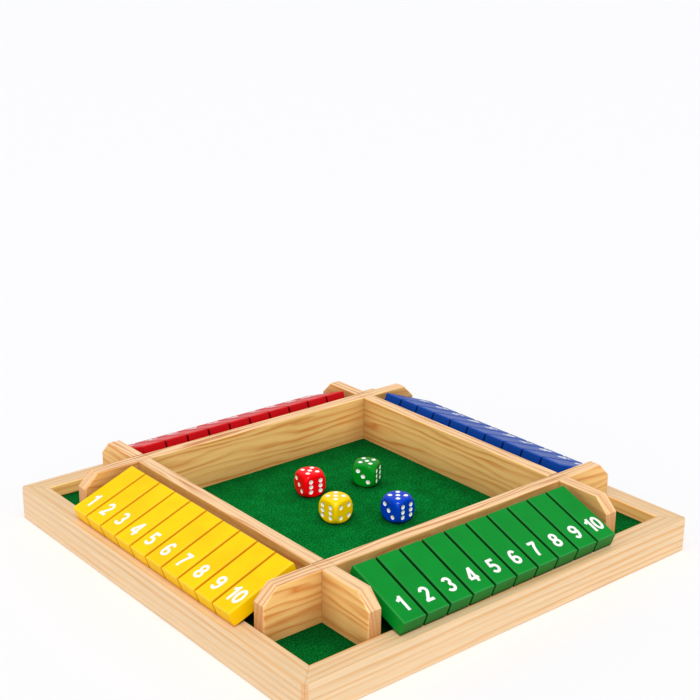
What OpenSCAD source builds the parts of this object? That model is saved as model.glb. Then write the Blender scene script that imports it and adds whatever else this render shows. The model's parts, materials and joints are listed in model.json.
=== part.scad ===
// Four-player shut the box: a shallow square wooden tray whose low crossing
// dividers leave a felt playing field in the middle, a channel of ten hinged
// number tiles along each side and an open pocket in each corner, with four dice.
// Millimetres, +Z up. Origin: centre of the tray on its underside. The green row
// faces -Y, then red +Y, yellow -X and blue +X.

/* [Tray] */
// outside width and depth of the tray
tray_w = 300; // [285:1:325]
// width of a rail across its top
rail_w = 14; // [12:0.5:17]
// height of a rail above the table
rail_h = 21.5; // [20:0.5:25]
// rounding along a rail's long edges
rail_edge = 0.8; // [0.4:0.1:1.5]
// flat cut back from each upright outer corner of the tray
corner_cut = 2.6; // [1:0.1:5]
// underside of the base board above the table
base_z = 9; // [4:0.5:11]
// thickness of the base board
base_t = 4; // [3:0.5:5]
// depth of the groove in each rail that holds the base board
groove_d = 5; // [3:0.5:7]
// thickness of the felt glued on the base board
felt_t = 1; // [0.5:0.1:2]

/* [Dividers] */
// clear width of the square playing field
field_w = 177; // [172:1:186]
// thickness of a divider
div_t = 9; // [7:0.5:11]
// top of the dividers above the table
div_top = 45.5; // [43:0.5:50]
// corner cut off the top of each divider end
ear_cut = 9; // [4:0.5:13]
// rounding along a divider's top, clipped and end edges
div_edge = 0.9; // [0.3:0.1:1.5]

/* [Tiles] */
// tiles in one row
tiles = 10; // [8:1:12]
// gap between two tiles
tile_gap = 1.5; // [0.6:0.1:2]
// free space left at each end of a row
row_margin = 4.5; // [1:0.5:6]
// thickness of a tile
tile_t = 10.3; // [8:0.1:11]
// rounding of a tile's edges
tile_edge = 1.2; // [0.5:0.1:1.5]
// rounded end of a tile's underside, in from the tray's outer face
rest_inset = 6.5; // [5:0.5:9]

/* [Rods] */
// diameter of a row's hinge rod
rod_d = 3; // [2.4:0.1:3.6]
// rod's centre out from the divider beside it
rod_out = 9.8; // [9:0.1:12]
// rod's centre below the top of the dividers
rod_drop = 6.5; // [5:0.1:8]
// rod's centre above the tile's underside
rod_up = 3.4; // [3:0.1:4.5]
// rod's centre in from the tile's inner end
rod_in = 4.5; // [3.5:0.1:6]
// depth of the blind hole that holds each end of a rod
rod_seat = 5; // [3:0.5:6]
// all-round clearance of a tile on its rod
tile_play = 0.05; // [0.02:0.01:0.1]

/* [Dice] */
// edge of a die
die_w = 16; // [12:1:19]
// diameter of the ball that rounds a die's corners, as a share of its edge
die_ball = 1.38; // [1.32:0.01:1.5]
// diameter of a pip
pip_d = 3; // [2:0.1:3.2]
// depth of a pip
pip_deep = 0.5; // [0.2:0.1:1]
// pip rows' distance from the middle of a face
pip_step = 3.5; // [3.2:0.1:4]

/* [Hidden] */
half = tray_w / 2;
inner = half - rail_w;               // inside face of a rail
floor_z = base_z + base_t + felt_t;  // top of the felt
div_c = (field_w + div_t) / 2;       // divider's centre plane
div_out = div_c + div_t / 2;         // its face towards the tiles
div_h = div_top - floor_z;
clip_out = (inner + div_h - ear_cut) / sqrt(2);  // clipped corner's face from the foot's middle
pitch = (field_w - 2 * row_margin) / tiles;
tile_w = pitch - tile_gap;
rod_r = div_out + rod_out;           // rod's centre out from the tray's centre
rod_z = div_top - rod_drop;
rod_len = field_w + 2 * rod_seat;
hole_play = 0.02;                    // clearance round a rod's fixed ends
rest_gap = 0.02;                     // under the resting end of a tile

// A tile turns on its rod until the rounding of its far lower corner lies on the
// rail. From the rod to that rounding's centre: run and fall in the tray, and
// fwd and down in the tile's own directions.
run = half - rest_inset - rod_r;
fall = rod_z - (rail_h + tile_edge + rest_gap);
down = rod_up - tile_edge;
fwd = sqrt(run * run + fall * fall - down * down);
tilt = atan2(fall, run) - atan2(down, fwd);
tile_l = fwd + tile_edge + rod_in;

PINE = "#EBCB98";
PLY = "#DDB67E";
FELT = "#0F6B2C";
STEEL = "#B9BCC0";
// Of each side of the tray: name, colour, turn from the green row, and whether its
// numbers run from the left (1) or from the right (-1) as read from outside it
SIDES = [["green", "#1E8F3A", 0, 1], ["blue", "#1148B8", 90, -1],
         ["red", "#E8122A", 180, -1], ["yellow", "#FFD91A", 270, 1]];
// number of the SIDES entry, place on the felt and turn of each die
DICE = [[2, 0, 38, -9], [3, -11.5, -3, -84], [0, 39.5, 27, 31], [1, 19.5, -26.5, 4]];

function side_name(s) = SIDES[s][0];
function side_nodes(s) = [
    for (part = ["rail_", "divider_", "rod_"]) str(part, side_name(s)),
    for (i = [1:tiles]) str("tile_", side_name(s), "_", i),
    str("die_", side_name(s))
];

$fn = 64;

module round_rect(w, h, r) {
    for (x = [r, w - r], y = [r, h - r]) translate([x, y]) circle(r);
    translate([r, 0]) square([w - 2 * r, h]);
    translate([0, r]) square([w, h - 2 * r]);
}

// Things drawn for the green side, turned to side s.
module on_side(s) rotate([0, 0, SIDES[s][2]]) children();

// Extrudes a drawing of (out, up) by w along the row, centred on the row's middle.
module across(w) rotate([90, 0, -90]) linear_extrude(w, center = true) children();

module rail_section() difference() {
    round_rect(rail_w, rail_h, rail_edge);
    translate([-1, base_z]) square([groove_d + 1, base_t]);
}

module rail(s) color(PINE) on_side(s) intersection() {
    translate([0, -inner, 0]) across(tray_w) rail_section();
    linear_extrude(rail_h) polygon([
        [-half + corner_cut, -half], [half - corner_cut, -half],
        [half - corner_cut / 2, -half + corner_cut / 2], [inner, -inner],
        [-inner, -inner], [-half + corner_cut / 2, -half + corner_cut / 2]
    ]);
}

// A board as thick as a divider, with the two edges of its top face rounded. Its top
// face lies at reach from the origin and is turned to face turn degrees from up.
module eased_board(turn, reach, depth) rotate([0, turn, 0]) translate([0, div_t / 2, reach - depth])
    rotate([90, 0, -90]) linear_extrude(3 * inner, center = true) {
        square([div_t, depth - div_edge]);
        translate([div_edge, 0]) square([div_t - 2 * div_edge, depth]);
        for (y = [div_edge, div_t - div_edge]) translate([y, depth - div_edge]) circle(div_edge);
    }

// A divider's outline has a top, two clipped corners and two ends, one eased board each.
module divider_blank() intersection() {
    eased_board(0, div_h, div_h);
    eased_board(45, clip_out, 2 * tray_w);
    eased_board(-45, clip_out, 2 * tray_w);
    eased_board(90, inner, 2 * inner);
    eased_board(-90, inner, 2 * inner);
}

// The two dividers that run along X are notched from below at each crossing,
// and the two that run along Y from above.
module divider(s) color(PINE) on_side(s) translate([0, -div_c, floor_z]) difference() {
    divider_blank();
    for (x = [-div_c, div_c])
        translate([x - div_t / 2, -div_t, s % 2 == 0 ? -1 : div_h / 2])
            cube([div_t, 2 * div_t, div_h / 2 + 1]);
    for (x = [-rod_r, rod_r])
        translate([x, div_t / 2 - rod_seat, rod_z - floor_z]) rotate([-90, 0, 0])
            cylinder(h = rod_seat + 1, d = rod_d + 2 * hole_play);
}

module rod(s) color(STEEL) on_side(s)
    translate([0, -rod_r, rod_z]) rotate([0, 90, 0]) cylinder(h = rod_len, d = rod_d, center = true);

module tile(s, i) color(SIDES[s][1]) on_side(s)
    translate([SIDES[s][3] * (i - (tiles + 1) / 2) * pitch, -rod_r, rod_z]) rotate([tilt, 0, 0])
        difference() {
            intersection() {
                across(tile_w) translate([-rod_in, -rod_up]) round_rect(tile_l, tile_t, tile_edge);
                translate([-tile_w / 2, rod_in, -rod_up]) rotate([90, 0, 0])
                    linear_extrude(tile_l) round_rect(tile_w, tile_t, tile_edge);
            }
            rotate([0, 90, 0]) cylinder(h = pitch, d = rod_d + 2 * tile_play, center = true);
        }

module base_board() color(PLY) translate([0, 0, base_z + base_t / 2])
    cube([2 * (inner + groove_d), 2 * (inner + groove_d), base_t], center = true);

module felt_floor() color(FELT) translate([0, 0, floor_z - felt_t / 2])
    cube([2 * inner, 2 * inner, felt_t], center = true);

// Pips of one face, counted 1 to 6, cut into a face that looks up at z = die_w / 2.
module pips(count) {
    middle = count % 2 == 1 ? [[0, 0]] : [];
    slope = count > 1 ? [[1, 1], [-1, -1]] : [];
    back = count > 3 ? [[1, -1], [-1, 1]] : [];
    sides = count == 6 ? [[1, 0], [-1, 0]] : [];
    for (p = concat(middle, slope, back, sides))
        translate([p[0] * pip_step, p[1] * pip_step, die_w / 2 - pip_deep])
            cylinder(h = pip_deep + 1, d = pip_d);
}

// Opposite faces add up to seven; 5 is on top, 3 looks to -X and 6 to -Y.
module die(d) color(SIDES[d[0]][1])
    translate([d[1], d[2], floor_z + die_w / 2]) rotate([0, 0, d[3]]) difference() {
        intersection() {
            cube(die_w, center = true);
            sphere(d = die_w * die_ball, $fn = 96);
        }
        pips(5);
        rotate([180, 0, 0]) pips(2);
        rotate([0, -90, 0]) pips(3);
        rotate([0, 90, 0]) pips(4);
        rotate([90, 0, 0]) pips(6);
        rotate([-90, 0, 0]) pips(1);
    }

for (s = [0:3]) {
    rail(s);
    divider(s);
    rod(s);
    for (i = [1:tiles])
        tile(s, i);
}
for (d = DICE)
    die(d);
base_board();
felt_floor();
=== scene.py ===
"""Four-player shut the box: looks for a pine tray with painted number tiles, a felt
floor and four dice. Lengths are in metres, or in millimetres where a name ends in _mm
or _MM, and angles whose names end in _deg or _DEG are in degrees."""
import bpy
import bmesh
import json
import math
from mathutils import Matrix, Vector, noise
from types import SimpleNamespace


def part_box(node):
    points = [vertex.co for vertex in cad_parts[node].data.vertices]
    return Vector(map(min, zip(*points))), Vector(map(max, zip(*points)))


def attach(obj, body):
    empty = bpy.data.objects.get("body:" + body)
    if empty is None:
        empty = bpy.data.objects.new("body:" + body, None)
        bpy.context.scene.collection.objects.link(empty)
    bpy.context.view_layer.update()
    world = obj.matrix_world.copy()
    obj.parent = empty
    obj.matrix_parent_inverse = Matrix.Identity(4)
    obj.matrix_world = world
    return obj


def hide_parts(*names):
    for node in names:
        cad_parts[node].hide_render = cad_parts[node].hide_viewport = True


MM = 0.001
SIDES = ("green", "blue", "red", "yellow")
TILES = 10                   # in each side's row
DIE_TURN_DEG = {"red": -9, "yellow": -84, "green": 31, "blue": 4}  # as in the part's source

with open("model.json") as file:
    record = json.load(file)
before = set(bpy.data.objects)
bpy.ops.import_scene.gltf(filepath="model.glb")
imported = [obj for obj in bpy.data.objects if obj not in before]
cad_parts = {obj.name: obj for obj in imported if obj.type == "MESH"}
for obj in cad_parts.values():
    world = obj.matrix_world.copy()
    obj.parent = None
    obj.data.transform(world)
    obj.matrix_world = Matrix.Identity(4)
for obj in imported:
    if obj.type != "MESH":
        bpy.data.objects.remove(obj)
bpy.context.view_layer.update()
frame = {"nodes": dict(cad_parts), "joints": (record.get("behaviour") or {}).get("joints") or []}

# Real sizes: the felt's width is the part's own number, and the others are taken from
# the frame
FELT_HALF = 136 * MM         # half the clear width between the rails
felt_low, felt_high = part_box("felt_floor")
divider_low, divider_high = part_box("divider_green")
die_low, die_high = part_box("die_green")
FLOOR_Z = felt_high.z        # top of the felt
FELT_THICKNESS = felt_high.z - felt_low.z
DIVIDER_CENTRE = abs(divider_low.y + divider_high.y) / 2  # from the tray's centre
DIVIDER_THICKNESS = divider_high.y - divider_low.y
DIE_EDGE = die_high.z - die_low.z

# Finishes, as sRGB hex. The shaded golds are painted shade and warm bounce light on the
# pine faces that stand in shadow, and the shade colours are the painted shade a finish
# turns to where something close by shuts it in.
PINE_SHADED_GOLD = "#FFCE80"
RING_SHADED_GOLD = "#E08C3C"
PINE_END = "#C98848"
PINE_SHADE = "#A06A30"
# painted shade in the narrow seams between joined boards
SEAM_SHADE = "#9A6430"
PAINT = {"green": "#00882A", "blue": "#0048AC", "red": "#DC0512", "yellow": "#FACB00"}
PAINT_SHADE = {"green": "#001E0A", "blue": "#001440", "red": "#5C0006", "yellow": "#DC8C00"}
# share of painted shade on the tiles' end faces, and none on the yellow ones
PAINT_END_SHADE = {"green": 0.35, "blue": 0.35, "red": 0.35, "yellow": 0.0}
EDGE_HIGHLIGHT = 0.04             # share of white painted over the rounded edges as a highlight
DIE_PLASTIC = {"green": "#008A20", "blue": "#0040C8", "red": "#FF0010", "yellow": "#FFD400"}
FELT_SHADE = "#001A06"
WHITE_INK_AND_HIGHLIGHT = "#F6F6F2"

# Patterns, as real sizes in millimetres
RING_PATCH_MM = 9.09         # width of the patches where a board's rings stand out or fade
FIBRE_MM = 0.9               # pine fibres, drawn coarser than the real 0.03 mm
FIBRE_SLIMNESS = 0.03        # a fibre's width, as a share of its length
SEAM_CORE_MM = 0.08          # the seam's painted shade is darkest this near its middle
SEAM_MM = 0.45               # and has faded out this far from it
SEAM_DARKEST = 0.35          # share of the seam's painted shade where it is darkest
CLOUD_MM = 18.2              # faint uneven patches of sprayed enamel
ORANGE_PEEL_MM = 1.11        # pimples of its film, drawn coarser than the real 0.3 mm
FUZZ_MM = 1.0                # tufts of felt fibres, drawn coarser than the real 0.02 mm
BRUSHED_MM = 11.1            # patches of felt that were brushed one way
HAZE_MM = 8.33               # cloudy patches in the dice's plastic
SPECKLE_MM = 1.43            # uneven spots of printed ink
DRAW_LINE_MM = 1.11          # lines of a drawn rod, drawn coarser than the real 0.05 mm
DRAW_LENGTH_MM = 33.3        # and how long each one runs

# How near something has to be to lay painted shade on a finish, in millimetres
GAP_REACH_MM = 3             # enamel, as in the gap between two tiles
BOARD_REACH_MM = 20          # a flat-sawn board, as at the foot of a wall
FELT_REACH_MM = 45           # felt, as in the channel under the tiles
SHUT_IN, OPEN_AIR = 0.3, 0.95  # share of open air round a spot at its deepest and palest


# ---------------------------------------------------------------- material tools

def linear(hex_colour):
    """An sRGB hex colour as linear RGBA."""
    def channel(start):
        value = int(hex_colour[start:start + 2], 16) / 255
        return value / 12.92 if value <= 0.04045 else ((value + 0.055) / 1.055) ** 2.4
    return (channel(1), channel(3), channel(5), 1.0)


def add(tree, kind, inputs=None, stops=None, **settings):
    """Adds a shader node. Each input is a number, a colour or another node's output,
    and stops are a colour ramp's (place, hex colour) pairs."""
    made = tree.nodes.new("ShaderNode" + kind)
    for setting, value in settings.items():
        setattr(made, setting, value)
    for socket, value in (inputs or {}).items():
        if isinstance(value, bpy.types.NodeSocket):
            tree.links.new(value, made.inputs[socket])
        else:
            made.inputs[socket].default_value = value
    if stops:
        ramp = made.color_ramp.elements
        while len(ramp) < len(stops):
            ramp.new(1.0)
        for element, (place, colour) in zip(ramp, stops):
            element.position = place
            element.color = linear(colour)
    return made


def surface(name, **sockets):
    """A new material with a Principled surface; sockets are its constant values."""
    material = bpy.data.materials.new(name)
    material.use_nodes = True
    tree = material.node_tree
    tree.nodes.clear()
    values = {key.replace("_", " "): value for key, value in sockets.items()}
    skin = add(tree, "BsdfPrincipled", values)
    add(tree, "OutputMaterial", {"Surface": skin.outputs["BSDF"]})
    return material, tree, skin


def per_metre(size_mm):
    """The scale of a texture whose pattern has this size."""
    return 1 / (size_mm * MM)


def mottled(tree, colour, spots, darkest, lightest, low=0.3, high=0.7):
    """A colour made darker and lighter in spots, which are a noise's output: the colour
    times darkest where the noise is low, and times lightest where it is high."""
    shade = add(tree, "MapRange", {"Value": spots, "From Min": low, "From Max": high,
                                   "To Min": darkest, "To Max": lightest})
    tinted = add(tree, "Mix", {"Factor": 1.0, "A": colour, "B": shade.outputs["Result"]},
                 data_type="RGBA", blend_type="MULTIPLY")
    return tinted.outputs["Result"]


def deepened(tree, colour, reach_mm, shade_colour, most=1.0):
    """Painted shade: a colour that turns to a darker one where something within reach_mm
    shuts it in, as in the gap between two tiles or at the foot of a wall."""
    # ambient occlusion paints the shade into the colour
    open_air = add(tree, "AmbientOcclusion", {"Distance": reach_mm * MM}, samples=6)
    shade_share = add(tree, "MapRange", {"Value": open_air.outputs["AO"], "From Min": SHUT_IN,
                                  "From Max": OPEN_AIR, "To Min": most, "To Max": 0.0})
    tone = add(tree, "Mix", {"Factor": shade_share.outputs["Result"], "A": colour,
                             "B": linear(shade_colour)}, data_type="RGBA")
    return tone.outputs["Result"]


# ---------------------------------------------------------------- pine

# The two cuts of board:
#   early, late       colours between the ring lines and in them
#   ring_mm           spacing of the rings, wide enough to show in the picture
#   closer            how many times closer they lie on the narrow faces
#   slant             how far they lean across a face
#   wander            how crooked the lines are
#   drift             how fast they change along the board
#   boldest           strength of the boldest line
#   end_from, end_to  how squarely a face looks along the board where the end grain's
#                     own colour starts, and where it reaches its full share, end_most
RAIL_STOCK = SimpleNamespace(
    early="#E8C9A0", late="#DDA25C", ring_mm=4.4, closer=1.0, slant=1.0, wander=5.0,
    drift=0.05, boldest=0.85, end_from=0.4, end_to=0.7, end_most=0.5)
FLAT_SAWN = SimpleNamespace(
    early="#F8D0A0", late="#C87C38", ring_mm=5.4, closer=1.5, slant=0.15, wander=9.0,
    drift=0.13, boldest=1.0, end_from=0.6, end_to=1.0, end_most=0.6)
WAVE_BANDS = 20 / (2 * math.pi)   # bands in one metre of a wave texture of scale 1
BROAD_FACING = 0.7                # a broad face looks at least this squarely across
INNER_FACE_MM = 50                # a rail's inner face is further than this from the centre
BOARD_APART = 0.31                # between two boards in the space of the grain, in metres
RINGS_APART = 1.7                 # and between their rings, as an angle


def growth(tree, at, facing, along, stock):
    """How deep each spot lies in the growth rings, in metres, and which faces get the gold
    of painted shade and warm bounce light: the broad faces of a flat-sawn board, the inner
    face of a rail. In a rail the rings cross all faces at a slant. In a flat-sawn board
    they lie along its narrow faces and open out over its height on the broad ones."""
    across = "X" if along == "Y" else "Y"
    depths = []
    for first, second, closer in ((across, "Z", stock.closer), ("Z", across, 1.0)):
        slant = add(tree, "Math", {0: at[second], 1: stock.slant, 2: at[first]},
                    operation="MULTIPLY_ADD")
        depths.append(add(tree, "Math", {0: slant.outputs["Value"], 1: closer},
                          operation="MULTIPLY"))
    squarely = add(tree, "Math", {0: facing[across]}, operation="ABSOLUTE")
    broad = add(tree, "Math", {0: squarely.outputs["Value"], 1: BROAD_FACING},
                operation="GREATER_THAN")
    on_narrow, on_broad = (depth.outputs["Value"] for depth in depths)
    depth = add(tree, "Mix", {"Factor": broad.outputs["Value"], "A": on_narrow,
                              "B": on_broad}, data_type="FLOAT")
    # the second value marks the faces painted a shaded gold: a flat-sawn board's broad faces, a
    # rail's inner face
    if stock is FLAT_SAWN:
        return depth.outputs["Result"], broad.outputs["Value"]
    outward = add(tree, "Math", {0: facing[across], 1: at[across]}, operation="MULTIPLY")
    inner = add(tree, "Math", {0: outward.outputs["Value"], 1: -INNER_FACE_MM * MM},
                operation="LESS_THAN")
    return depth.outputs["Result"], inner.outputs["Value"]


def ring_lines(tree, board, seed, stock):
    """The dark late-wood lines: 0 in the pale wood between them, up to 1 in the middle
    of one. They fade and come back in stretches along the board."""
    rings = add(tree, "TexWave", {
        "Vector": board, "Scale": per_metre(stock.ring_mm) / WAVE_BANDS,
        "Distortion": stock.wander, "Detail": 2.0, "Detail Scale": 1.8,
        "Detail Roughness": 0.45, "Phase Offset": RINGS_APART * seed,
    }, wave_type="BANDS", bands_direction="X", wave_profile="SAW")
    late_wood = add(tree, "ValToRGB", {"Fac": rings.outputs["Fac"]}, stops=[
        (0.0, "#808080"), (0.12, "#000000"), (0.38, "#303030"), (0.62, "#A8A8A8"),
        (0.78, "#FFFFFF"), (1.0, "#B0B0B0")])
    patches = add(tree, "TexNoise", {
        "Vector": board, "Scale": per_metre(RING_PATCH_MM), "Detail": 2.0})
    strength = add(tree, "MapRange", {
        "Value": patches.outputs["Fac"], "From Min": 0.38, "From Max": 0.62,
        "To Min": 0.3, "To Max": stock.boldest})
    lines = add(tree, "Math", {0: late_wood.outputs["Color"],
                               1: strength.outputs["Result"]}, operation="MULTIPLY")
    return lines.outputs["Value"]


def glue_line(tree, spot, along, joint):
    """How much painted shade each spot gets from the narrow seam of a joint. A mitre's
    seam lies on the tray's diagonals, and a crossing's on both faces of the divider it crosses."""
    mirrored = add(tree, "VectorMath", {0: spot}, operation="ABSOLUTE")
    away = add(tree, "SeparateXYZ", {"Vector": mirrored.outputs["Vector"]}).outputs
    if joint == "mitre":
        off = add(tree, "Math", {0: away["X"], 1: away["Y"]}, operation="SUBTRACT")
    else:
        beyond = add(tree, "Math", {0: away[along], 1: DIVIDER_CENTRE},
                     operation="SUBTRACT")
        from_centre = add(tree, "Math", {0: beyond.outputs["Value"]}, operation="ABSOLUTE")
        off = add(tree, "Math", {0: from_centre.outputs["Value"],
                                 1: DIVIDER_THICKNESS / 2}, operation="SUBTRACT")
    distance = add(tree, "Math", {0: off.outputs["Value"]}, operation="ABSOLUTE")
    line = add(tree, "MapRange", {
        "Value": distance.outputs["Value"], "From Min": SEAM_CORE_MM * MM,
        "From Max": SEAM_MM * MM, "To Min": SEAM_DARKEST, "To Max": 0.0})
    return line.outputs["Result"]


def pine(name, along, seed, stock, joint=None):
    """Planed pine with a thin clear varnish: cream early wood, soft orange late-wood
    lines that run with the board, and a faint shine. A flat-sawn board has wandering lines
    on its broad faces, and brown stripes along its narrow ones. Its broad faces and a
    rail's inner face are painted a deeper gold as shade and warm bounce light, and a
    flat-sawn board gets painted shade where something close shuts it in. A thin line of
    painted shade shows where the board meets the next in a joint, "mitre" or "crossing"."""
    material, tree, skin = surface(name, Roughness=0.5, IOR=1.5, Specular_IOR_Level=0.35)
    place = add(tree, "TexCoord").outputs
    at = add(tree, "SeparateXYZ", {"Vector": place["Object"]}).outputs
    facing = add(tree, "SeparateXYZ", {"Vector": place["Normal"]}).outputs
    depth, shaded_gold_faces = growth(tree, at, facing, along, stock)
    lengthwise = add(tree, "Math", {0: at[along], 1: stock.drift}, operation="MULTIPLY")
    board = add(tree, "CombineXYZ", {"X": depth, "Y": lengthwise.outputs["Value"],
                                     "Z": BOARD_APART * seed})
    # painted shade and warm bounce light: the shaded faces take the gold colours
    early, late = (
        add(tree, "Mix", {"Factor": shaded_gold_faces, "A": linear(plain), "B": linear(shaded_gold)},
            data_type="RGBA").outputs["Result"]
        for plain, shaded_gold in ((stock.early, PINE_SHADED_GOLD), (stock.late, RING_SHADED_GOLD)))
    wood = add(tree, "Mix", {
        "Factor": ring_lines(tree, board.outputs["Vector"], seed, stock),
        "A": early, "B": late}, data_type="RGBA")
    end_on = add(tree, "Math", {0: facing[along]}, operation="ABSOLUTE")
    end_grain = add(tree, "MapRange", {
        "Value": end_on.outputs["Value"], "From Min": stock.end_from,
        "From Max": stock.end_to, "To Min": 0.0, "To Max": stock.end_most})
    wood = add(tree, "Mix", {"Factor": end_grain.outputs["Result"],
                             "A": wood.outputs["Result"], "B": linear(PINE_END)},
               data_type="RGBA")
    # painted shade along the seam of the joint
    if joint:
        wood = add(tree, "Mix", {"Factor": glue_line(tree, place["Object"], along, joint),
                                 "A": wood.outputs["Result"], "B": linear(SEAM_SHADE)},
                   data_type="RGBA")
    fibre_way = add(tree, "Mapping", {
        "Vector": place["Object"],
        "Scale": (1, FIBRE_SLIMNESS, 1) if along == "Y" else (FIBRE_SLIMNESS, 1, 1)})
    fibres = add(tree, "TexNoise", {
        "Vector": fibre_way.outputs["Vector"], "Scale": per_metre(FIBRE_MM), "Detail": 3.0,
        "Roughness": 0.6})
    colour = mottled(tree, wood.outputs["Result"], fibres.outputs["Fac"], 0.9, 1.06,
                     low=0.25, high=0.75)
    # painted shade at the foot of walls and in the small pockets
    if stock is FLAT_SAWN:
        colour = deepened(tree, colour, BOARD_REACH_MM, PINE_SHADE, 0.75)
    tree.links.new(colour, skin.inputs["Base Color"])
    grain = add(tree, "Bump", {"Height": fibres.outputs["Fac"], "Strength": 0.12,
                               "Distance": 0.05 * MM})
    tree.links.new(grain.outputs["Normal"], skin.inputs["Normal"])
    return material


# ---------------------------------------------------------------- other materials

def squareness(tree, facing, axis):
    """How squarely each spot faces along an axis, one way or the other: 0 to 1."""
    along = add(tree, "VectorMath", {0: facing, 1: axis}, operation="DOT_PRODUCT")
    return add(tree, "Math", {0: along.outputs["Value"]}, operation="ABSOLUTE").outputs["Value"]


def rounded(tree, facing, axes):
    """Where a block's edges are rounded: 0 on the faces square to its axes, up to 1
    halfway round an edge."""
    nearest = 0.0
    for axis in axes:
        larger = add(tree, "Math", {0: squareness(tree, facing, axis), 1: nearest},
                     operation="MAXIMUM")
        nearest = larger.outputs["Value"]
    share = add(tree, "MapRange", {"Value": nearest, "From Min": 0.72, "From Max": 0.98,
                                   "To Min": 1.0, "To Max": 0.0})
    return share.outputs["Result"]


def enamel(side, axes):
    """Satin enamel sprayed on sanded wood: an even colour, a soft shine and the fine
    orange peel that a sprayed film dries with. Painted shade darkens it in the gaps
    between tiles and on most tiles' end faces, and a painted highlight makes it a little
    paler over the rounded edges. axes are the tile's own: over its width, up its length
    and out of its face."""
    material, tree, skin = surface("enamel_" + side, Roughness=0.38, IOR=1.48,
                                   Specular_IOR_Level=0.12)
    place = add(tree, "TexCoord").outputs
    cloud = add(tree, "TexNoise", {"Vector": place["Object"], "Scale": per_metre(CLOUD_MM),
                                   "Detail": 2.0})
    colour = mottled(tree, linear(PAINT[side]), cloud.outputs["Fac"], 0.92, 1.06)
    # painted highlight: white mixed in over the rounded edges
    highlight_share = add(tree, "Math", {0: rounded(tree, place["Normal"], axes), 1: EDGE_HIGHLIGHT},
               operation="MULTIPLY")
    highlighted = add(tree, "Mix", {"Factor": highlight_share.outputs["Value"], "A": colour,
                              "B": linear(WHITE_INK_AND_HIGHLIGHT)}, data_type="RGBA")
    _, up_length, _ = axes
    # painted shade: the tiles' end faces darker than their tops
    end_grain = add(tree, "MapRange", {
        "Value": squareness(tree, place["Normal"], up_length), "From Min": 0.75,
        "From Max": 0.98, "To Min": 0.0, "To Max": PAINT_END_SHADE[side]})
    end_shaded = add(tree, "Mix", {"Factor": end_grain.outputs["Result"],
                               "A": highlighted.outputs["Result"], "B": linear(PAINT_SHADE[side])},
                 data_type="RGBA")
    # painted shade in the gaps between tiles
    tree.links.new(deepened(tree, end_shaded.outputs["Result"], GAP_REACH_MM, PAINT_SHADE[side]),
                   skin.inputs["Base Color"])
    film = add(tree, "TexNoise", {"Vector": place["Object"],
                                  "Scale": per_metre(ORANGE_PEEL_MM), "Detail": 2.0})
    orange_peel = add(tree, "Bump", {"Height": film.outputs["Fac"], "Strength": 0.08,
                                     "Distance": 0.05 * MM})
    tree.links.new(orange_peel.outputs["Normal"], skin.inputs["Normal"])
    return material


def pressed_felt():
    """Craft felt: pressed fibres without a weave, matt, with a short fuzz that catches
    light at a low angle, and soft lighter and darker patches where it was brushed.
    Painted shade darkens it where walls and tiles close it in."""
    material, tree, skin = surface(
        "pressed_felt", Roughness=0.95, IOR=1.4, Specular_IOR_Level=0.03,
        Sheen_Weight=0.03, Sheen_Roughness=0.5, Sheen_Tint=linear("#4FBF6A"))
    place = add(tree, "TexCoord").outputs
    fibres = add(tree, "TexNoise", {"Vector": place["Object"], "Scale": per_metre(FUZZ_MM),
                                    "Detail": 4.0, "Roughness": 0.7})
    brushed = add(tree, "TexNoise", {"Vector": place["Object"],
                                     "Scale": per_metre(BRUSHED_MM), "Detail": 3.0,
                                     "Roughness": 0.6})
    fuzz = add(tree, "ValToRGB", {"Fac": fibres.outputs["Fac"]}, stops=[
        (0.36, "#004416"), (0.5, "#006E28"), (0.64, "#0E9E40")])
    colour = mottled(tree, fuzz.outputs["Color"], brushed.outputs["Fac"], 0.75, 1.15)
    # painted shade near the walls and in the channels under the tiles
    tree.links.new(deepened(tree, colour, FELT_REACH_MM, FELT_SHADE, 0.8),
                   skin.inputs["Base Color"])
    nap = add(tree, "Bump", {"Height": fibres.outputs["Fac"], "Strength": 0.6,
                             "Distance": 0.3 * MM})
    tree.links.new(nap.outputs["Normal"], skin.inputs["Normal"])
    return material


def moulded_acrylic(side):
    """Polished acrylic: even colour with a faint cloudiness, and sharp reflections."""
    material, tree, skin = surface("acrylic_" + side, Roughness=0.12, IOR=1.49,
                                   Specular_IOR_Level=0.14)
    place = add(tree, "TexCoord").outputs
    cloud = add(tree, "TexNoise", {"Vector": place["Object"], "Scale": per_metre(HAZE_MM),
                                   "Detail": 1.0})
    colour = mottled(tree, linear(DIE_PLASTIC[side]), cloud.outputs["Fac"], 0.94, 1.06,
                     low=0.0, high=1.0)
    tree.links.new(colour, skin.inputs["Base Color"])
    return material


def white_ink():
    """Printed white enamel, slightly uneven, a little flatter than the paint under it."""
    material, tree, skin = surface("white_ink", Roughness=0.42, IOR=1.5)
    place = add(tree, "TexCoord").outputs
    speckle = add(tree, "TexNoise", {"Vector": place["Object"],
                                     "Scale": per_metre(SPECKLE_MM), "Detail": 2.0})
    tone = add(tree, "ValToRGB", {"Fac": speckle.outputs["Fac"]}, stops=[
        (0.2, "#EDEDE8"), (0.7, WHITE_INK_AND_HIGHLIGHT)])
    tree.links.new(tone.outputs["Color"], skin.inputs["Base Color"])
    return material


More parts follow.
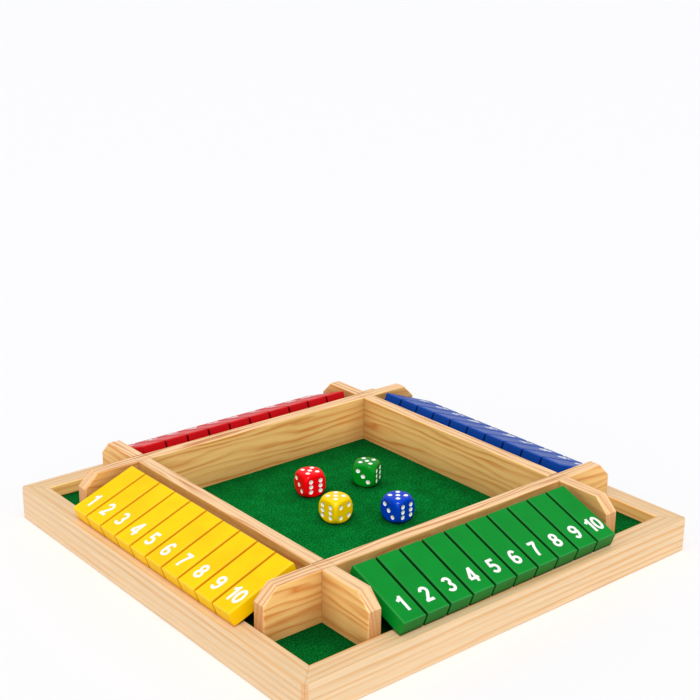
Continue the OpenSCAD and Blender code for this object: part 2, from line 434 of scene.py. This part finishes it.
def drawn_steel(side, along):
    """Bright drawn steel rod: fine lines along it from the drawing die."""
    material, tree, skin = surface("drawn_steel_" + side, Metallic=1.0, Roughness=0.25)
    place = add(tree, "TexCoord").outputs
    fine, long = per_metre(DRAW_LINE_MM), per_metre(DRAW_LENGTH_MM)
    lines = add(tree, "Mapping", {
        "Vector": place["Object"],
        "Scale": (fine, long, fine) if along == "Y" else (long, fine, fine)})
    streaks = add(tree, "TexNoise", {"Vector": lines.outputs["Vector"], "Scale": 1.0,
                                     "Detail": 3.0})
    tone = add(tree, "ValToRGB", {"Fac": streaks.outputs["Fac"]}, stops=[
        (0.3, "#A6A9AC"), (0.7, "#C9CCCF")])
    tree.links.new(tone.outputs["Color"], skin.inputs["Base Color"])
    return material


def dress(node, material):
    """Gives a CAD node its finish."""
    for slot in frame["nodes"][node].material_slots:
        slot.material = material


# ---------------------------------------------------------------- mesh tools

def as_mesh(shape, name):
    """Turns a bmesh into a mesh."""
    data = bpy.data.meshes.new(name)
    shape.to_mesh(data)
    shape.free()
    return data


def placed(name, data, materials=()):
    """Puts a mesh, a camera or a lamp in the scene, a mesh with its materials."""
    for material in materials:
        data.materials.append(material)
    made = bpy.data.objects.new(name, data)
    bpy.context.scene.collection.objects.link(made)
    return made


def combined(first, second, operation):
    """Joins two closed meshes, or cuts the second from the first; takes both away and
    gives back the result."""
    change = first.modifiers.new("combine", "BOOLEAN")
    change.object = second
    change.operation = operation
    change.solver = "EXACT"
    seen = bpy.context.evaluated_depsgraph_get()
    data = bpy.data.meshes.new_from_object(first.evaluated_get(seen))
    for used in (first, second):
        bpy.data.objects.remove(used)
    return placed("combined", data)


def piece(name, data, body, materials=()):
    """Puts a mesh in the scene as a piece that rides on a body, with the materials
    given."""
    thing = placed(name, data, materials)
    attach(thing, body)
    return thing


# ---------------------------------------------------------------- tray

def long_way(node):
    """The way a CAD node runs, X or Y."""
    low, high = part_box(node)
    return "X" if high.x - low.x > high.y - low.y else "Y"


for seed, side in enumerate(SIDES):
    along = long_way("rod_" + side)
    dress("rail_" + side, pine("pine_rail_" + side, along, seed, RAIL_STOCK, "mitre"))
    dress("divider_" + side, pine("pine_divider_" + side, along, seed + len(SIDES),
                                  FLAT_SAWN, "crossing"))
    dress("rod_" + side, drawn_steel(side, along))
# The base board is plywood with pine outside
dress("base_board", pine("pine_plywood", "X", 9, FLAT_SAWN))

FELT_CELLS = 160             # along each side of the felt's mesh
FELT_HUMPS = 260             # of its uneven top, in one metre
FELT_UNEVEN = 0.10 * MM      # height of a hump
FELT_SUNK = 0.08 * MM        # its middle height, below the CAD felt's flat top


def felt_floor():
    """The felt: one cut square with its fuzzy, faintly uneven top."""
    sheet = bmesh.new()
    bmesh.ops.create_grid(sheet, x_segments=FELT_CELLS, y_segments=FELT_CELLS,
                          size=FELT_HALF)
    for vertex in sheet.verts:
        uneven = noise.noise(vertex.co * FELT_HUMPS) * FELT_UNEVEN
        vertex.co.z = FLOOR_Z - FELT_SUNK + uneven
    rim = [edge for edge in sheet.edges if edge.is_boundary]
    skirt = bmesh.ops.extrude_edge_only(sheet, edges=rim)["geom"]
    for part in skirt:
        if isinstance(part, bmesh.types.BMVert):
            part.co.z = FLOOR_Z - FELT_THICKNESS
    underside = [edge for edge in sheet.edges if edge.is_boundary]
    bmesh.ops.edgeloop_fill(sheet, edges=underside)
    bmesh.ops.recalc_face_normals(sheet, faces=sheet.faces)
    for face in sheet.faces:
        face.smooth = face.normal.z > 0.5
    data = as_mesh(sheet, "felt_sheet")
    return piece("felt_sheet", data, "tray", [pressed_felt()])


cloth = felt_floor()
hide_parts("felt_floor")


# ---------------------------------------------------------------- tiles and numbers

NUMBER_HEIGHT = 10.6 * MM
NUMBER_FROM_END = 0.255    # centre of the number from the tile's outer end, of its length
INK_PROUD = 0.05 * MM      # how far the ink stands out of the tile, and is sunk in it
STROKE_WIDTH = 0.175       # of the number's height
ARC_STEP_DEG = 10
FACES_UP = 0.7             # a tile's top face looks up at least this squarely


def arc(x, y, rx, ry, start, end):
    """Points of an ellipse's arc round (x, y), from one angle to another, in degrees."""
    steps = max(2, round(abs(end - start) / ARC_STEP_DEG))
    angles = (math.radians(start + (end - start) * k / steps) for k in range(steps + 1))
    return [(x + rx * math.cos(t), y + ry * math.sin(t)) for t in angles]


DIGIT_WIDTH = 0.60         # of a "6", of the number's height

# Strokes of each digit in a cell 1 high, as the points of their centre lines
DIGITS = {
    "0": [arc(0.30, 0.5, 0.205, 0.405, 90, 450)],
    "1": [[(0.30, 0), (0.30, 1)], [(0.33, 0.90), (0.04, 0.70)]],
    "2": [arc(0.30, 0.695, 0.20, 0.21, 175, -35) + [(0.12, 0.09)],
          [(0.03, 0.095), (0.54, 0.095)]],
    "3": [arc(0.28, 0.71, 0.19, 0.195, 160, -90), arc(0.28, 0.30, 0.215, 0.205, 90, -160)],
    "4": [[(0.43, 0), (0.43, 1)], [(0.40, 0.94), (0.06, 0.32)], [(0.02, 0.27), (0.60, 0.27)]],
    "5": [[(0.12, 0.905), (0.53, 0.905)], [(0.17, 0.95), (0.13, 0.47)],
          arc(0.29, 0.325, 0.215, 0.23, 130, -155)],
    "6": [arc(0.30, 0.30, 0.205, 0.205, 180, 540),
          arc(0.325, 0.46, 0.23, 0.445, 185, 45)],
    "7": [[(0.05, 0.905), (0.55, 0.905)],
          [(0.46, 0.88), (0.32, 0.60), (0.23, 0.30), (0.20, 0)]],
    "8": [arc(0.30, 0.71, 0.18, 0.195, 90, 450), arc(0.30, 0.295, 0.21, 0.20, 90, 450)],
}
DIGITS["9"] = [[(DIGIT_WIDTH - x, 1 - y) for x, y in line] for line in DIGITS["6"]]
WIDE_ADVANCE = 0.62        # how far the next digit starts from this one
ADVANCE = {"1": 0.46}      # and from a narrow one


def stroke(points):
    """A film of ink along the points, as a closed solid STROKE_WIDTH wide."""
    closed = math.dist(points[0], points[-1]) < 1e-6
    path = [Vector(point) for point in (points[:-1] if closed else points)]
    count = len(path)
    film = bmesh.new()
    rings = []
    for k, here in enumerate(path):
        before = path[k - 1] if closed or k else here
        after = path[(k + 1) % count] if closed or k + 1 < count else here
        along = (after - before).normalized()
        across = Vector((-along.y, along.x)) * STROKE_WIDTH / 2
        rings.append([film.verts.new((*(here + way * across), height))
                      for way, height in ((-1, -1), (1, -1), (1, 1), (-1, 1))])
    for k in range(count if closed else count - 1):
        ring, following = rings[k], rings[(k + 1) % count]
        for i in range(4):
            j = (i + 1) % 4
            film.faces.new((ring[i], ring[j], following[j], following[i]))
    if not closed:
        film.faces.new(reversed(rings[0]))
        film.faces.new(rings[-1])
    bmesh.ops.recalc_face_normals(film, faces=film.faces)
    return as_mesh(film, "stroke")


def number_mesh(text):
    """A printed number: NUMBER_HEIGHT tall, centred on the origin, lying in X and Y."""
    number = None
    start = 0.0
    for digit in text:
        for points in DIGITS[digit]:
            part = placed("stroke", stroke([(x + start, y) for x, y in points]))
            number = combined(number, part, "UNION") if number else part
        start += ADVANCE.get(digit, WIDE_ADVANCE)
    data = number.data.copy()
    bpy.data.objects.remove(number)
    xs = [vertex.co.x for vertex in data.vertices]
    middle = (min(xs) + max(xs)) / 2
    data.transform(Matrix.Diagonal((NUMBER_HEIGHT, NUMBER_HEIGHT, INK_PROUD, 1))
                   @ Matrix.Translation((-middle, -0.5, 0)))
    return data


def tile_top(tile, hinge):
    """Where the number goes on a tile: its place, and which ways are right, up and out
    of the face for someone who reads it from outside the tray."""
    axis = Vector(hinge["axis"])
    outward = Vector((0, 0, 1)).cross(axis)
    mesh = frame["nodes"][tile].data
    top = max((face for face in mesh.polygons if face.normal.z > FACES_UP),
              key=lambda face: face.area)
    face_out = top.normal.copy()
    up_slope = axis.cross(face_out)
    if up_slope.dot(outward) > 0:
        up_slope.negate()
    right = up_slope.cross(face_out)
    corners = [vertex.co for vertex in mesh.vertices]
    along = [corner.dot(up_slope) for corner in corners]
    over = [corner.dot(right) for corner in corners]
    high = max(corner.dot(face_out) for corner in corners)
    length = max(along) - min(along)
    centre = (up_slope * (min(along) + NUMBER_FROM_END * length)
              + right * ((min(over) + max(over)) / 2) + face_out * high)
    return centre, right, up_slope, face_out


hinges = {joint["child"]: joint for joint in frame["joints"] if joint["type"] == "hinge"}
ink = white_ink()
numbers = {n: number_mesh(str(n)) for n in range(1, TILES + 1)}
for side in SIDES:
    first = f"tile_{side}_1"
    _, *axes = tile_top(first, hinges[first])
    coat = enamel(side, axes)
    for n in range(1, TILES + 1):
        tile = f"tile_{side}_{n}"
        dress(tile, coat)
        centre, right, up, out = tile_top(tile, hinges[tile])
        lay = Matrix((right, up, out)).transposed().to_4x4()
        lay.translation = centre
        data = numbers[n].copy()
        data.transform(lay)
        piece(f"number_{side}_{n}", data, tile, [ink])


# ---------------------------------------------------------------- dice

PIP_SPREAD = 3.5 * MM
PIP_RADIUS = 1.5 * MM
PIP_DEPTH = 0.5 * MM
PIP_ROUND, PIP_RINGS = 32, 16  # sides and rings of the ball that cuts a pip
DIE_CELLS = 24       # cuts across each face
DIE_BALL = 1.38      # ball that rounds a die's corners, as a share of its edge
DIE_SOFTNESS = 24    # how sharply the ball and the faces meet; less is softer
PIP_PLACES = {
    1: [(0, 0)],
    2: [(1, 1), (-1, -1)],
    3: [(1, 1), (0, 0), (-1, -1)],
    4: [(1, 1), (-1, -1), (1, -1), (-1, 1)],
    5: [(1, 1), (-1, -1), (1, -1), (-1, 1), (0, 0)],
    6: [(1, 1), (-1, -1), (1, -1), (-1, 1), (1, 0), (-1, 0)],
}
# Count of pips and the turn that brings the top face there: 5 up, 3 to -X, 6 to -Y
DIE_FACES = [
    (5, Matrix.Identity(4)),
    (2, Matrix.Rotation(math.pi, 4, "X")),
    (3, Matrix.Rotation(-math.pi / 2, 4, "Y")),
    (4, Matrix.Rotation(math.pi / 2, 4, "Y")),
    (6, Matrix.Rotation(math.pi / 2, 4, "X")),
    (1, Matrix.Rotation(-math.pi / 2, 4, "X")),
]


def die_mesh(plastic, pip_paint):
    """A die centred on the origin: a cube whose edges and corners are eased by a ball,
    with shallow round pips."""
    half = DIE_EDGE / 2
    body = bmesh.new()
    bmesh.ops.create_cube(body, size=2)
    bmesh.ops.subdivide_edges(body, edges=body.edges, cuts=DIE_CELLS, use_grid_fill=True)
    for vertex in body.verts:
        reach = [abs(place) for place in vertex.co] + [vertex.co.length / DIE_BALL]
        vertex.co *= half / sum(r ** DIE_SOFTNESS for r in reach) ** (1 / DIE_SOFTNESS)

    cutters = bmesh.new()
    flat = Matrix.Diagonal((PIP_RADIUS, PIP_RADIUS, PIP_DEPTH, 1))
    for count, turn in DIE_FACES:
        for u, w in PIP_PLACES[count]:
            place = Matrix.Translation((u * PIP_SPREAD, w * PIP_SPREAD, half))
            bmesh.ops.create_uvsphere(cutters, u_segments=PIP_ROUND, v_segments=PIP_RINGS,
                                      radius=1, matrix=turn @ place @ flat)
    for face in body.faces:
        face.smooth = True
    for face in cutters.faces:
        face.smooth = True
        face.material_index = 1

    both = [plastic, pip_paint]
    cut = combined(placed("die", as_mesh(body, "die"), both),
                   placed("pips", as_mesh(cutters, "pips"), both), "DIFFERENCE")
    data = cut.data
    bpy.data.objects.remove(cut)
    return data


plastics = {side: moulded_acrylic(side) for side in SIDES}
blank = die_mesh(plastics[SIDES[0]], ink)
for side in SIDES:
    low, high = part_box("die_" + side)
    turned = Matrix.Rotation(math.radians(DIE_TURN_DEG[side]), 4, "Z")
    data = blank.copy()
    data.materials[0] = plastics[side]
    data.transform(Matrix.Translation((low + high) / 2) @ turned)
    die = piece("acrylic_die_" + side, data, "die_" + side)
    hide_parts("die_" + side)


# ---------------------------------------------------------------- camera, floor, light

# The photograph's camera, from matching the tray's corners and edges: the point it
# aims at, how far off and in which direction it stands, and its focal length as a
# share of the picture's width, from both in pixels
AIM = Vector((198.4, 236.9, 20.0)) * MM
AZIMUTH_DEG, ELEVATION_DEG, ROLL_DEG = -39.72, 18.39, 0.48
DISTANCE = 1140.0 * MM
FOCAL_SHARE = 1337.0 / 700.0
SENSOR_MM = 36.0

WHITE_PAPER = "#F2F2F4"
FLOOR_HALF = 30              # half the floor's width
SKY_STRENGTH = 0.6
LAMP_STRENGTH = 2.2
LAMP_FROM = (-0.66, -0.78, 1.1)  # the way to the lamp: front left and high
LAMP_SPREAD_DEG = 25


def photo_camera():
    """The camera at the photograph's angle."""
    azimuth, elevation = math.radians(AZIMUTH_DEG), math.radians(ELEVATION_DEG)
    back = Vector((math.sin(azimuth) * math.cos(elevation),
                   -math.cos(azimuth) * math.cos(elevation), math.sin(elevation)))
    side = Vector((0, 0, 1)).cross(back).normalized()
    up = back.cross(side)
    roll = math.radians(ROLL_DEG)
    side, up = (side * math.cos(roll) + up * math.sin(roll),
                up * math.cos(roll) - side * math.sin(roll))
    data = bpy.data.cameras.new("camera")
    data.sensor_width = SENSOR_MM
    data.lens = FOCAL_SHARE * SENSOR_MM
    data.clip_start, data.clip_end = 0.01, 100
    stand = Matrix((side, up, back)).transposed().to_4x4()
    stand.translation = AIM + back * DISTANCE
    camera = placed("camera", data)
    camera.matrix_world = stand
    bpy.context.scene.camera = camera


def floor():
    """A wide sheet of white paper under the tray."""
    sheet = bmesh.new()
    bmesh.ops.create_grid(sheet, x_segments=1, y_segments=1, size=FLOOR_HALF)
    paper, _, _ = surface("white_paper", Roughness=0.9, Specular_IOR_Level=0.1,
                          Base_Color=linear(WHITE_PAPER))
    placed("studio_floor", as_mesh(sheet, "studio_floor"), [paper])


def sky(strength):
    """An even white surround."""
    world = bpy.data.worlds.new("studio")
    bpy.context.scene.world = world
    world.use_nodes = True
    background = world.node_tree.nodes["Background"]
    background.inputs["Color"].default_value = linear("#FFFFFF")
    background.inputs["Strength"].default_value = strength


def distant_lamp(name, strength, way, spread_deg):
    """A lamp so far off that it lights the whole floor evenly, from the way given."""
    data = bpy.data.lights.new(name, "SUN")
    data.energy = strength
    data.angle = math.radians(spread_deg)
    light = placed(name, data)
    light.rotation_mode = "QUATERNION"
    light.rotation_quaternion = Vector(way).to_track_quat("Z", "Y")


photo_camera()
floor()
sky(SKY_STRENGTH)
distant_lamp("front", LAMP_STRENGTH, LAMP_FROM, LAMP_SPREAD_DEG)
bpy.context.scene.view_settings.view_transform = "Standard"
